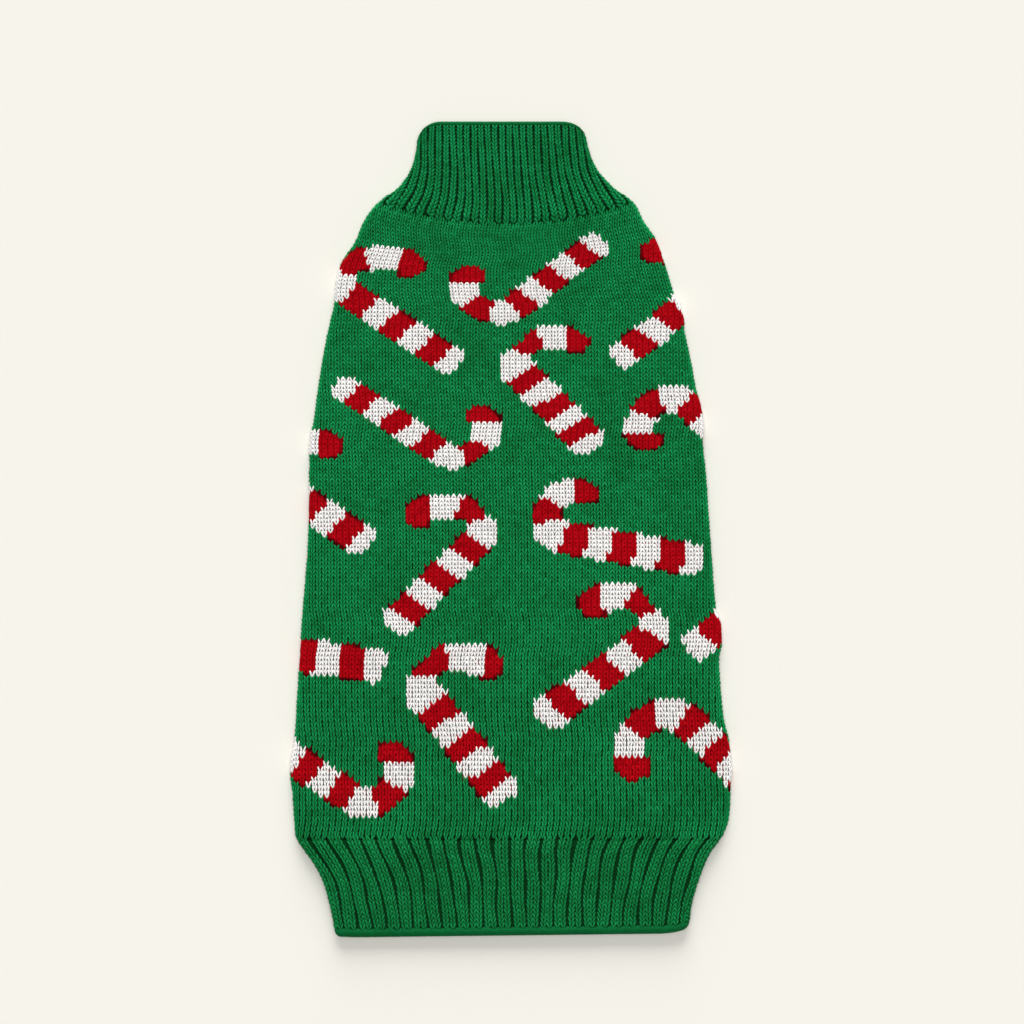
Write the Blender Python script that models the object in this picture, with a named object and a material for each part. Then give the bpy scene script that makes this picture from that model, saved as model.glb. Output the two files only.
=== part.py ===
"""A knitted dog sweater laid flat on its belly side, as its maker cuts and links it.

The back panel lies on top, folds over both sides and ends at two seams underneath.
The belly panel closes the tube between those seams. A ribbed collar is linked on at
the neck, a ribbed band at the hem, and two small ribbed cuffs fill the leg openings,
which are cut through the lower layer only. All the cloth is a hollow wall: the two
layers lie on each other with a narrow slit between them.

Metres, +Z up, +Y towards the neck. The garment rests on Z = 0, its origin in the
middle of its underside.
"""

import math

import bmesh
import bpy
import numpy as np

MM = 0.001

# ---- Driving sizes, in metres -----------------------------------------------
SEAM_GAP = 0.0003          # between neighbouring pieces at every seam
SLIT = 0.0012              # air between the upper and the lower layer
BODY_WALL = 0.0028         # stockinette of the back and the belly
COLLAR_WALL = 0.0024       # one-by-one rib, measured in its valleys
COLLAR_RIB_HEIGHT = 0.0012
HEM_WALL = 0.0024          # two-by-one rib, measured in its valleys
HEM_RIB_HEIGHT = 0.0014
EDGE_ROLL = 0.0014         # how far the cast-off edges round down
SEAM_DIP = 0.0009          # how far the cloth sinks along the linked neck seam

COLLAR_RIBS = 25           # ribs from fold to fold over the front of the collar
HEM_RIBS = 26              # ribs from fold to fold over the front of the hem
GATHERS = COLLAR_RIBS      # one pucker under each rib end of the collar
GATHER_HEIGHT = 0.0007
GATHER_LENGTH = 0.014      # how far the puckers run down the back

COLLAR_TOP = 0.2326        # height of the collar's cast-off edge
COLLAR_CORNER_WIDTH = 0.0135         # the collar's upper corners are quarter ellipses
COLLAR_CORNER_DROPS = (0.0118, 0.0095)    # how far the left and the right one come down
COLLAR_SEAM = 0.1862       # height of the neck seam at the two folds
COLLAR_SEAM_BOW = -0.0120  # how much lower the same seam runs at mid width
HEM_SEAM = -0.1763         # height of the seam between body and hem rib
HEM_EDGE_LEFT = -0.2326    # height of the hem's cast-off edge towards either fold
HEM_EDGE_RIGHT = -0.2302
HEM_CORNER_WIDTH = 0.0180  # the hem's lower corners, too
HEM_CORNER_DROPS = (0.0010, 0.0050)
BOW_REACH = 0.0700         # length over which the neck seam's bow dies out

OPENING_HEIGHT = 0.0900    # middle of the leg openings, along Y
OPENING_HALF_LENGTH = 0.0430
OPENING_HALF_WIDTH = 0.0240
OPENING_TILT = math.radians(5.0)
CUFF_WIDTH = 0.0110
CUFF_SEGMENTS = 44

# Outline of the garment laid flat, in millimetres: height above the middle of
# the length, then the reach of the left and of the right fold.
OUTLINE = (
    # y, left, right
    (-232.6, -99.8, 101.6),
    (-213.5, -103.5, 103.7),
    (-199.8, -107.5, 107.5),
    (-191.2, -112.0, 110.6),
    (-182.7, -118.0, 115.1),
    (-175.8, -122.6, 120.3),
    (-166.7, -123.7, 124.0),
    (-154.2, -124.5, 125.2),
    (-131.4, -124.2, 124.2),
    (-97.2, -122.3, 120.3),
    (-51.6, -119.4, 117.4),
    (-6.0, -116.0, 114.0),
    (39.6, -114.9, 110.6),
    (73.8, -111.2, 106.6),
    (108.0, -105.7, 100.3),
    (130.8, -100.3, 94.1),
    (153.6, -94.6, 87.2),
    (165.0, -88.6, 83.2),
    (176.4, -83.8, 75.5),
    (186.2, -76.4, 70.4),
    (194.7, -65.0, 59.3),
    (203.8, -58.3, 50.7),
    (217.5, -54.7, 45.0),
    (232.6, -53.3, 42.5),
)

# Where a second colour's floats make the fold stand out, in millimetres: side
# (-1 left, +1 right), height of the middle, half length, and how far it swells.
SWELLS = (
    # side, y, half_length, swell
    (-1, 145.5, 13.0, 1.9),
    (-1, 50.0, 9.0, 1.1),
    (-1, -136.0, 11.0, 1.7),
    (1, 124.0, 8.0, 2.1),
    (1, 65.0, 12.0, 1.8),
    (1, -59.0, 11.0, 2.7),
    (1, -129.0, 16.0, 1.6),
)

# Half width of the belly panel, in millimetres, from the middle of the garment.
BELLY_HALF = (
    # y, half
    (-180.0, 70.0),
    (-100.0, 70.0),
    (0.0, 65.0),
    (90.0, 57.0),
    (150.0, 48.0),
    (190.0, 38.0),
)

# Rows of the tubes, as shares of the way from the seam to the cast-off edge.
COLLAR_STATIONS = (0.0, 0.04, 0.12, 0.22, 0.34, 0.50, 0.72, 0.94, 1.0)
HEM_STATIONS = (0.0, 0.04, 0.12, 0.22, 0.34, 0.52, 0.93, 1.0)

# One period of each rib, from valley to valley: place in the period, height.
COLLAR_RIB_PROFILE = ((0.0, 0.0), (0.25, 0.8), (0.5, 1.0), (0.75, 0.8))
HEM_RIB_PROFILE = ((0.0, 0.0), (0.16, 0.78), (0.38, 1.0), (0.62, 1.0), (0.84, 0.78))

PLAIN_ROWS = 31            # rows of the body below the puckers
TOP_POINTS = 36            # points of a plain row over the flat of the upper layer
INNER_TOP_POINTS = 18      # the same on the plain inner face
ARC_POINTS = 4             # points on each quarter turn of a fold
UNDER_POINTS = 9           # points of a whole row over the flat underneath
STRIP_POINTS = 4           # points on the back panel's strip beside each seam
PUCKER_POINTS = 4          # points for each pucker or rib end

# Soft waves of the upper layer: height, then waves along and across.
WAVE_HEIGHT = 0.0004
WAVE_LENGTH_Y = 0.130
WAVE_LENGTH_X = 0.105

ACRYLIC_GREEN = (0.005, 0.130, 0.038, 1.0)
ACRYLIC_GREEN_RIB = (0.004, 0.112, 0.032, 1.0)
YARN_ROUGHNESS = 0.85
SMOOTH_ANGLE = math.radians(40.0)


# ---- Outline ----------------------------------------------------------------
def smooth_read(table, column, y):
    """Read a table's column at heights y, along smooth curves through its rows."""
    rows = np.array(table) * MM
    knots = rows[:, 0]
    values = rows[:, column]
    slopes = np.gradient(values, knots)
    y = np.clip(np.asarray(y, dtype=float), knots[0], knots[-1])
    low = np.clip(np.searchsorted(knots, y, side="right") - 1, 0, len(knots) - 2)
    span = knots[low + 1] - knots[low]
    t = (y - knots[low]) / span
    start = (1 + 2 * t) * (1 - t) ** 2 * values[low]
    leave = t * (1 - t) ** 2 * span * slopes[low]
    end = t ** 2 * (3 - 2 * t) * values[low + 1]
    arrive = t ** 2 * (t - 1) * span * slopes[low + 1]
    return start + leave + end + arrive


def fold_reach(side, y):
    """X of the left (-1) or right (+1) fold at height y, with its swells."""
    column = 1 if side < 0 else 2
    reach = smooth_read(OUTLINE, column, y)
    for swell_side, middle, half_length, swell in SWELLS:
        if swell_side == side:
            distance = (y - middle * MM) / (half_length * MM)
            reach = reach + side * swell * MM * np.exp(-distance ** 4)
    return reach


def middle_line(y):
    """X of the middle of the garment at height y, which leans a little."""
    return 0.5 * (smooth_read(OUTLINE, 1, y) + smooth_read(OUTLINE, 2, y))


def belly_edge(side, y):
    """X of the belly panel's seam on one side at height y."""
    return middle_line(y) + side * smooth_read(BELLY_HALF, 1, y)


# ---- Sections ---------------------------------------------------------------
def fold_lengths(left, right, low, high):
    """Radius of a fold, its quarter turn's length, and the length over the top."""
    radius = 0.5 * (high - low)
    quarter = 0.5 * math.pi * radius
    return radius, quarter, (right - left) - 2 * radius + 2 * quarter


def section(left, right, low, high, around):
    """Points and outward directions on a flattened tube's outline.

    `around` runs from 0 at the left fold over the top to 1 at the right fold.
    Below 0 and above 1 it goes on underneath, back towards the middle.
    """
    radius, quarter, length = fold_lengths(left, right, low, high)
    under = (around < 0) | (around > 1)
    over_top = np.where(around < 0, -around, np.where(around > 1, 2 - around, around))
    along = over_top * length
    from_end = np.minimum(along, length - along)
    turn = np.clip(from_end / radius, 0, 0.5 * math.pi)
    flat = np.maximum(from_end - quarter, 0)
    inset = radius * (1 - np.cos(turn)) + flat
    near_left = over_top <= 0.5
    x = np.where(near_left, left + inset, right - inset)
    rise = radius * np.sin(turn)
    z = low + radius + np.where(under, -rise, rise)
    out_x = np.where(near_left, -1, 1) * np.cos(turn)
    out_z = np.where(under, -1, 1) * np.sin(turn)
    return x, z, out_x, out_z


def quarter_share(left, right, low, high):
    """Share of the way over the top that a fold's quarter turn takes."""
    radius, quarter, length = fold_lengths(left, right, low, high)
    return quarter / length


def around_under(inset, left, right, low, high):
    """How far round from a fold a flat point underneath is, `inset` from that fold."""
    radius, quarter, length = fold_lengths(left, right, low, high)
    return (inset - radius + quarter) / length


def rib_height(around, ribs, profile):
    """Height, 0 to 1, of a rib's section at places round the tube."""
    places = [place for place, height in profile] + [1.0]
    heights = [height for place, height in profile] + [profile[0][1]]
    on_top = (around >= 0) & (around <= 1)
    return np.where(on_top, np.interp((around * ribs) % 1.0, places, heights), 0.0)


def rib_places(ribs, profile):
    """Places over the top, from fold to fold, of every point of every rib."""
    starts = np.arange(ribs)[:, None]
    offsets = np.array([place for place, height in profile])[None, :]
    return np.append(((starts + offsets) / ribs).ravel(), 1.0)


def plain_places(turn, points):
    """Places over the top of a plain row: both quarter turns and the flat."""
    quarter = np.linspace(0, turn, ARC_POINTS)
    flat = np.linspace(turn, 1 - turn, points)
    return np.concatenate((quarter[:-1], flat, 1 - quarter[-2::-1]))


def ring_places(over_top, turn):
    """Places all round a tube: over the top, then back underneath."""
    quarter = np.linspace(0, turn, ARC_POINTS)[1:-1]
    flat = np.linspace(1 + turn, 2 - turn, UNDER_POINTS)
    return np.concatenate((over_top, 1 + quarter, flat, 2 - quarter[::-1]))


# ---- Lofted walls -----------------------------------------------------------
def zip_rows(first, second, first_places, second_places, closed):
    """Triangles between two rows of vertex numbers, joined in order of place."""
    faces = []
    i = 0
    j = 0
    if closed:
        first = first + first[:1]
        second = second + second[:1]
        first_places = list(first_places) + [first_places[0] + 2.0]
        second_places = list(second_places) + [second_places[0] + 2.0]
    while i < len(first) - 1 or j < len(second) - 1:
        if j == len(second) - 1:
            step_first = True
        elif i == len(first) - 1:
            step_first = False
        else:
            ahead_first = first_places[i + 1] + first_places[i]
            ahead_second = second_places[j + 1] + second_places[j]
            step_first = ahead_first <= ahead_second
        if step_first:
            faces.append((first[i], first[i + 1], second[j]))
            i += 1
        else:
            faces.append((first[i], second[j + 1], second[j]))
            j += 1
    return faces


def add_rows(mesh, rows):
    """Add rows of points to a mesh; each row keeps its places and its vertices."""
    added = []
    for places, points in rows:
        vertices = [mesh.verts.new(point) for point in points]
        added.append((list(places), vertices))
    return added


def add_faces(mesh, faces):
    """Add triangles, each a tuple of three vertices."""
    for face in faces:
        mesh.faces.new(face)


def loft_wall(name, outer_rows, inner_rows, closed):
    """A hollow wall of cloth between outer and inner rows, closed at its edges."""
    mesh = bmesh.new()
    outer = add_rows(mesh, outer_rows)
    inner = add_rows(mesh, inner_rows)
    for rows in (outer, inner):
        for (places_a, row_a), (places_b, row_b) in zip(rows, rows[1:]):
            add_faces(mesh, zip_rows(row_a, row_b, places_a, places_b, closed))
    for end in (0, -1):
        places_a, row_a = outer[end]
        places_b, row_b = inner[end]
        add_faces(mesh, zip_rows(row_a, row_b, places_a, places_b, closed))
    if not closed:
        for side in (0, -1):
            edge_out = [row[side] for places, row in outer]
            edge_in = [row[side] for places, row in inner]
            height_out = [vertex.co.y for vertex in edge_out]
            height_in = [vertex.co.y for vertex in edge_in]
            add_faces(mesh, zip_rows(edge_out, edge_in, height_out, height_in, False))
    bmesh.ops.recalc_face_normals(mesh, faces=mesh.faces)
    data = bpy.data.meshes.new(name)
    mesh.to_mesh(data)
    mesh.free()
    return data


# ---- Scene objects ----------------------------------------------------------
def clear_scene():
    """Remove whatever objects the file opens with."""
    for existing in list(bpy.data.objects):
        bpy.data.objects.remove(existing, do_unlink=True)


def new_collection(name):
    """A collection under the scene's own."""
    collection = bpy.data.collections.new(name)
    bpy.context.scene.collection.children.link(collection)
    return collection


def yarn_material(name, colour):
    """Dyed acrylic yarn, matt and not metallic."""
    material = bpy.data.materials.new(name)
    material.use_nodes = True
    shader = material.node_tree.nodes["Principled BSDF"]
    shader.inputs["Base Color"].default_value = colour
    shader.inputs["Roughness"].default_value = YARN_ROUGHNESS
    shader.inputs["Metallic"].default_value = 0.0
    material.diffuse_color = colour
    return material


def place_piece(name, data, material, collection):
    """Put a finished mesh into the collection, with its material."""
    data.materials.append(material)
    data.shade_smooth()
    data.set_sharp_from_angle(angle=SMOOTH_ANGLE)
    piece = bpy.data.objects.new(name, data)
    collection.objects.link(piece)
    return piece


# ---- Ribbed tubes: collar and hem -------------------------------------------
def ribbed_row(station, wall, rib, height_at, edge_at, sink):
    """One row of a ribbed tube's outer face, flat underneath.

    `rib` is (height, count, profile). `height_at` gives Y for a station and a
    place across, and `edge_at` gives it at the folds. `sink` is how far the row
    sinks at a seam or a cast-off edge, where the ribs are half as high.
    """
    rib_top, ribs, profile = rib
    edge = edge_at(station)
    left = fold_reach(-1, edge)
    right = fold_reach(1, edge)
    high = 2 * wall + SLIT
    places = ring_places(rib_places(ribs, profile), quarter_share(left, right, 0.0, high))
    x, z, out_x, out_z = section(left, right, 0.0, high, places)
    upper = np.where(places <= 1, out_z, 0.0)
    raised = rib_top * rib_height(places, ribs, profile)
    if sink:
        raised = 0.5 * raised - sink * upper
    x = x + raised * out_x
    z = z + raised * out_z
    return places, np.column_stack((x, height_at(station, x, left, right), z))


def inner_ring(station, wall, height_at, edge_at):
    """One row of a tube's plain inner face."""
    edge = edge_at(station)
    left = fold_reach(-1, edge) + wall
    right = fold_reach(1, edge) - wall
    low = wall
    high = wall + SLIT
    turn = quarter_share(left, right, low, high)
    places = ring_places(plain_places(turn, INNER_TOP_POINTS), turn)
    x, z, out_x, out_z = section(left, right, low, high, places)
    return places, np.column_stack((x, height_at(station, x, left, right), z))


def ribbed_tube(name, stations, wall, rib, height_at, edge_at, seam_sink):
    """A ribbed tube's wall, which may sink at its seam and rounds over at its edge."""
    outer = []
    for station in stations:
        sink = {stations[0]: seam_sink, stations[-1]: EDGE_ROLL}.get(station, 0.0)
        outer.append(ribbed_row(station, wall, rib, height_at, edge_at, sink))
    inner = [inner_ring(station, wall, height_at, edge_at) for station in stations[::2]]
    if len(stations) % 2 == 0:
        inner.append(inner_ring(stations[-1], wall, height_at, edge_at))
    return loft_wall(name, outer, inner, closed=True)


def seam_bow(across):
    """How far the neck seam dips at a place across, 0 at the folds."""
    return COLLAR_SEAM_BOW * (1 - across ** 2)


def collar_edge(station):
    """Height of a row of the collar at the folds."""
    start = COLLAR_SEAM + SEAM_GAP / 2
    return start + station * (COLLAR_TOP - start)


def across_at(x, left, right):
    """Place across the garment, -1 at the left fold and 1 at the right."""
    return np.clip((2 * x - left - right) / (right - left), -1, 1)


def corner_drop(x, left, right, width, drops):
    """How far a rounded corner takes a cast-off edge back: a quarter ellipse a side."""
    deepest = np.where(x - left < right - x, drops[0], drops[1])
    beyond = 1 - np.clip(np.minimum(x - left, right - x) / width, 0, 1)
    return deepest * (1 - np.sqrt(1 - beyond ** 2))


def collar_height(station, x, left, right):
    """Height of the collar's points: a bowed seam below, rounded corners above."""
    bow = seam_bow(across_at(x, left, right)) * (1 - station) ** 1.5
    drop = corner_drop(x, left, right, COLLAR_CORNER_WIDTH, COLLAR_CORNER_DROPS)
    return collar_edge(station) + bow - drop * station ** 3


def make_collar(collection):
    """The turtleneck: a one-by-one ribbed tube that fans out to the neck seam."""
    rib = (COLLAR_RIB_HEIGHT, COLLAR_RIBS, COLLAR_RIB_PROFILE)
    path = (collar_height, collar_edge)
    data = ribbed_tube("collar", COLLAR_STATIONS, COLLAR_WALL, rib, *path, seam_sink=SEAM_DIP)
    material = yarn_material("acrylic_green_collar_rib", ACRYLIC_GREEN)
    return place_piece("collar", data, material, collection)


def hem_edge(station):
    """Mean height of a row of the hem rib."""
    start = HEM_SEAM - SEAM_GAP / 2
    end = 0.5 * (HEM_EDGE_LEFT + HEM_EDGE_RIGHT)
    return start + station * (end - start)


def hem_height(station, x, left, right):
    """Height of the hem's points: a level seam, and a slightly slanting lower edge."""
    slant = 0.5 * (HEM_EDGE_RIGHT - HEM_EDGE_LEFT) * across_at(x, left, right) * station
    drop = corner_drop(x, left, right, HEM_CORNER_WIDTH, HEM_CORNER_DROPS)
    return hem_edge(station) + slant + drop * station ** 3


def make_hem(collection):
    """The waistband: a two-by-one ribbed tube, knitted straight on from the body."""
    rib = (HEM_RIB_HEIGHT, HEM_RIBS, HEM_RIB_PROFILE)
    path = (hem_height, hem_edge)
    data = ribbed_tube("hem_rib", HEM_STATIONS, HEM_WALL, rib, *path, seam_sink=0.0)
    material = yarn_material("acrylic_green_hem_rib", ACRYLIC_GREEN_RIB)
    return place_piece("hem_rib", data, material, collection)


# ---- Body panels ------------------------------------------------------------
def body_height(edge, across):
    """Height of a body point on the row that meets the folds at `edge`."""
    top = COLLAR_SEAM - SEAM_GAP / 2
    fade = np.clip(1 - (top - edge) / BOW_REACH, 0, 1)
    return edge + seam_bow(across) * fade ** 1.5


def soft_wave(x, y):
    """Soft waves of the upper layer, 0 at the folds' own height."""
    along = np.sin(2 * math.pi * y / WAVE_LENGTH_Y + 0.6)
    across = np.sin(2 * math.pi * x / WAVE_LENGTH_X + 1.1 + 6 * y)
    return WAVE_HEIGHT * along * across


def body_rows():
    """Rows of both body panels: height at the folds, and how far each sinks."""
    bottom = HEM_SEAM + SEAM_GAP / 2
    top = COLLAR_SEAM - SEAM_GAP / 2
    plain = np.linspace(bottom, top - GATHER_LENGTH, PLAIN_ROWS)
    rows = [(float(edge), 0.0) for edge in plain]
    rows += [(top - 0.6 * GATHER_LENGTH, 0.0), (top - 0.2 * GATHER_LENGTH, 0.0)]
    rows.append((top, SEAM_DIP))
    return rows


def inner_body_rows():
    """Every second row of the body, with the last, for the plain inner faces."""
    rows = body_rows()
    return rows[:-1:2] + rows[-1:]


def back_places(edge, left, right, low, high, over_top):
    """Places of a back panel row, from its left seam over the top to its right."""
    turn = quarter_share(left, right, low, high)
    inset_left = belly_edge(-1, edge) - SEAM_GAP / 2 - left
    inset_right = right - belly_edge(1, edge) - SEAM_GAP / 2
    start = around_under(inset_left, left, right, low, high)
    end = around_under(inset_right, left, right, low, high)
    under_left = np.linspace(-start, -turn, STRIP_POINTS)
    under_right = np.linspace(1 + turn, 1 + end, STRIP_POINTS)
    quarter = np.linspace(0, turn, ARC_POINTS)[1:-1]
    return np.concatenate((under_left, -quarter[::-1], over_top, 1 + quarter, under_right))


def back_outer_row(edge, sink):
    """One row of the back's outer face, puckered close to the neck seam."""
    left = fold_reach(-1, edge)
    right = fold_reach(1, edge)
    high = 2 * BODY_WALL + SLIT
    fade = 1 - (COLLAR_SEAM - SEAM_GAP / 2 - edge) / GATHER_LENGTH
    if fade > 0:
        over_top = np.linspace(0, 1, GATHERS * PUCKER_POINTS + 1)
    else:
        over_top = plain_places(quarter_share(left, right, 0.0, high), TOP_POINTS)
    places = back_places(edge, left, right, 0.0, high, over_top)
    x, z, out_x, out_z = section(left, right, 0.0, high, places)
    upper = np.where((places > 0) & (places < 1), out_z, 0.0)
    y = body_height(edge, across_at(x, left, right))
    pucker = -0.5 * np.cos(2 * math.pi * GATHERS * places)
    raised = soft_wave(x, y) + max(fade, 0.0) * GATHER_HEIGHT * pucker - sink
    x = x + raised * upper * out_x
    z = z + raised * upper * out_z
    return places, np.column_stack((x, y, z))


def back_inner_row(edge):
    """One row of the back's plain inner face."""
    left = fold_reach(-1, edge) + BODY_WALL
    right = fold_reach(1, edge) - BODY_WALL
    low = BODY_WALL
    high = BODY_WALL + SLIT
    over_top = plain_places(quarter_share(left, right, low, high), INNER_TOP_POINTS)
    places = back_places(edge, left, right, low, high, over_top)
    x, z, out_x, out_z = section(left, right, low, high, places)
    y = body_height(edge, across_at(x, left, right))
    return places, np.column_stack((x, y, z))


def make_back(collection, cutters):
    """The back panel: upper layer, both side folds, and a strip underneath."""
    outer = [back_outer_row(edge, sink) for edge, sink in body_rows()]
    inner = [back_inner_row(edge) for edge, sink in inner_body_rows()]
    data = loft_wall("back_panel", outer, inner, closed=False)
    material = yarn_material("acrylic_green_stockinette_back", ACRYLIC_GREEN)
    piece = place_piece("back_panel", data, material, collection)
    cut_openings(piece, cutters)
    return piece


def belly_row(edge, z):
    """One row of the belly panel's outer or inner face, from seam to seam."""
    left = belly_edge(-1, edge) + SEAM_GAP / 2
    right = belly_edge(1, edge) - SEAM_GAP / 2
    share = np.linspace(0, 1, UNDER_POINTS)
    x = left + share * (right - left)
    y = body_height(edge, across_at(x, fold_reach(-1, edge), fold_reach(1, edge)))
    return share, np.column_stack((x, y, np.full_like(x, z)))


def make_belly(collection, cutters):
    """The belly panel, which closes the tube between the two seams underneath."""
    outer = [belly_row(edge, 0.0) for edge, sink in body_rows()]
    inner = [belly_row(edge, BODY_WALL) for edge, sink in inner_body_rows()]
    data = loft_wall("belly_panel", outer, inner, closed=False)
    material = yarn_material("acrylic_green_stockinette_belly", ACRYLIC_GREEN)
    piece = place_piece("belly_panel", data, material, collection)
    cut_openings(piece, cutters)
    return piece


# ---- Leg openings and their cuffs -------------------------------------------
def opening_middle(side):
    """X of a leg opening's middle, on the side seam."""
    return float(belly_edge(side, OPENING_HEIGHT))


def make_cutter(side, cutters):
    """An oval cylinder through the lower layer, which ends in the slit."""
    depth = BODY_WALL + SLIT
    bpy.ops.mesh.primitive_cylinder_add(
        vertices=CUFF_SEGMENTS,
        radius=1.0,
        depth=depth,
        location=(opening_middle(side), OPENING_HEIGHT, 0.5 * BODY_WALL),
        rotation=(0.0, 0.0, side * OPENING_TILT),
    )
    cutter = bpy.context.active_object
    cutter.name = "leg_opening_right" if side > 0 else "leg_opening_left"
    cutter.scale = (OPENING_HALF_WIDTH, OPENING_HALF_LENGTH, 1.0)
    cutter.hide_render = True
    cutter.display_type = "WIRE"
    for collection in list(cutter.users_collection):
        collection.objects.unlink(cutter)
    cutters.objects.link(cutter)
    return cutter


def cut_openings(piece, cutters):
    """Cut both leg openings from a panel."""
    for cutter in cutters.objects:
        cut = piece.modifiers.new(cutter.name, "BOOLEAN")
        cut.operation = "DIFFERENCE"
        cut.solver = "EXACT"
        cut.object = cutter


def cuff_section():
    """The cuff's section: distance in from the opening's edge, and height."""
    width = CUFF_WIDTH - SEAM_GAP
    thick = BODY_WALL
    return (
        (0.0, 0.0),
        (width, 0.0),
        (width + 0.0006, 0.35 * thick),
        (width + 0.0003, 0.75 * thick),
        (width - 0.0010, thick),
        (0.5 * width, 0.94 * thick),
        (0.0, 0.86 * thick),
    )


def make_cuff(side, collection):
    """A ribbed cuff: a band round the leg opening that lies in the lower layer."""
    name = "leg_cuff_right" if side > 0 else "leg_cuff_left"
    mesh = bmesh.new()
    rings = []
    angles = np.arange(CUFF_SEGMENTS) * 2 * math.pi / CUFF_SEGMENTS
    for inward, height in cuff_section():
        half_width = OPENING_HALF_WIDTH - SEAM_GAP - inward
        half_length = OPENING_HALF_LENGTH - SEAM_GAP - inward
        x = half_width * np.sin(angles)
        y = half_length * np.cos(angles)
        z = np.full_like(x, height)
        points = np.column_stack((x, y, z))
        rings.append([mesh.verts.new(point) for point in points])
    for ring_a, ring_b in zip(rings, rings[1:] + rings[:1]):
        for i in range(CUFF_SEGMENTS):
            j = (i + 1) % CUFF_SEGMENTS
            mesh.faces.new((ring_a[i], ring_a[j], ring_b[j], ring_b[i]))
    bmesh.ops.recalc_face_normals(mesh, faces=mesh.faces)
    data = bpy.data.meshes.new(name)
    mesh.to_mesh(data)
    mesh.free()
    material = yarn_material("acrylic_green_" + name, ACRYLIC_GREEN_RIB)
    cuff = place_piece(name, data, material, collection)
    cuff.location = (opening_middle(side), OPENING_HEIGHT, 0.0)
    cuff.rotation_euler = (0.0, 0.0, side * OPENING_TILT)
    return cuff


def main():
    """Build the sweater, piece by piece."""
    clear_scene()
    sweater = new_collection("dog_sweater")
    cutters = new_collection("dog_sweater_cutters")
    for side in (-1, 1):
        make_cutter(side, cutters)
    make_back(sweater, cutters)
    make_belly(sweater, cutters)
    make_collar(sweater)
    make_hem(sweater)
    for side in (-1, 1):
        make_cuff(side, sweater)


main()
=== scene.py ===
"""A knitted dog sweater laid flat on its belly side, seen from straight above.

Every stitch is a looped piece of yarn on the form of its CAD node. Metres, +Z up,
+Y towards the neck, the floor at Z = 0.
"""

import functools
import math

import bpy
import numpy as np
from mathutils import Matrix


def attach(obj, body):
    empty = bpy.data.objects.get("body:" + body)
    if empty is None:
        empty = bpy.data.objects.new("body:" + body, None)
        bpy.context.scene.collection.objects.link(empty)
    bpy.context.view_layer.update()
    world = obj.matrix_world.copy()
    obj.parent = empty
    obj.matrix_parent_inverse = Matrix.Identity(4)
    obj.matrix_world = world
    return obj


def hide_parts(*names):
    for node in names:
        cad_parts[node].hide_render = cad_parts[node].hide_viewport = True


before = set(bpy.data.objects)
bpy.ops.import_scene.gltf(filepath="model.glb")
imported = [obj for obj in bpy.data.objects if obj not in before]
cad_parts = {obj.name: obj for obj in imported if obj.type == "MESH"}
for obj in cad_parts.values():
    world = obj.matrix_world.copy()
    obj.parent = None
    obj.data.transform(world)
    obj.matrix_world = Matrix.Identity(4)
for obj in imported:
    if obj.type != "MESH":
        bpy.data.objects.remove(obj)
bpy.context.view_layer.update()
MM = 0.001
chance = np.random.default_rng(11)

# ---- Back panel: the cloth under the stitches ----------------------------------
# The back is one piece of stockinette in acrylic yarn that lies on top, folds over
# both sides and ends at a linked seam on each side of the belly. This thin dark layer
# is the inside of its loops, which shows only through the holes between stitches; its
# dark colours are painted shade for the shade deep between the stitches.
OUTLINE = (
    # height, left fold, right fold, in mm
    (-232.6, -99.8, 101.6),
    (-213.5, -103.5, 103.7),
    (-199.8, -107.5, 107.5),
    (-191.2, -112.0, 110.6),
    (-182.7, -118.0, 115.1),
    (-175.8, -122.6, 120.3),
    (-166.7, -123.7, 124.0),
    (-154.2, -124.5, 125.2),
    (-131.4, -124.2, 124.2),
    (-97.2, -122.3, 120.3),
    (-51.6, -119.4, 117.4),
    (-6.0, -116.0, 114.0),
    (39.6, -114.9, 110.6),
    (73.8, -111.2, 106.6),
    (108.0, -105.7, 100.3),
    (130.8, -100.3, 94.1),
    (153.6, -94.6, 87.2),
    (165.0, -88.6, 83.2),
    (176.4, -83.8, 75.5),
    (186.2, -76.4, 70.4),
    (194.7, -65.0, 59.3),
    (203.8, -58.3, 50.7),
    (217.5, -54.7, 45.0),
    (232.6, -53.3, 42.5),
)
SWELLS = (
    # side, height, half length, swell, in mm: where a motif's floats fill the fold
    (-1, 145.5, 13.0, 1.9),
    (-1, 50.0, 9.0, 1.1),
    (-1, -136.0, 11.0, 1.7),
    (1, 124.0, 8.0, 2.1),
    (1, 65.0, 12.0, 1.8),
    (1, -59.0, 11.0, 2.7),
    (1, -129.0, 16.0, 1.6),
)
BELLY_HALF = (
    # height, half width of the belly panel, in mm
    (-180.0, 70.0),
    (-100.0, 70.0),
    (0.0, 65.0),
    (90.0, 57.0),
    (150.0, 48.0),
    (190.0, 38.0),
)
BODY_HIGH = 6.8 * MM       # both layers of the body with the slit between them
NECK_SEAM = 186.05 * MM    # top of the body at the folds
NECK_BOW = -12.0 * MM      # how much lower the neck seam runs at mid width
BOW_REACH = 70.0 * MM
HEM_SEAM = -176.15 * MM    # bottom of the body
SEAM_DIP = 0.9 * MM
GATHERS = 25               # puckers along the neck seam, one under each rib
GATHER_LENGTH = 14.0 * MM
GATHER_HEIGHT = 1.1 * MM
WAVE_HEIGHT = 0.4 * MM
WAVE_ALONG = 130.0 * MM    # length of the soft waves, along and across the back
WAVE_ACROSS = 105.0 * MM
CLOTH_FACE = -1.35 * MM    # the dark layer's outer and inner face lie inside the form
BACK_INSIDE = -2.3 * MM
OPENING_HEIGHT = 90.0 * MM
OPENING_HALF = (24.0 * MM, 43.0 * MM)
OPENING_TILT = math.radians(5.0)
CUTTER_HIGH = 6.0 * MM     # cuts the lower layer alone
CUTTER_MIDDLE = 0.2 * MM


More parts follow.
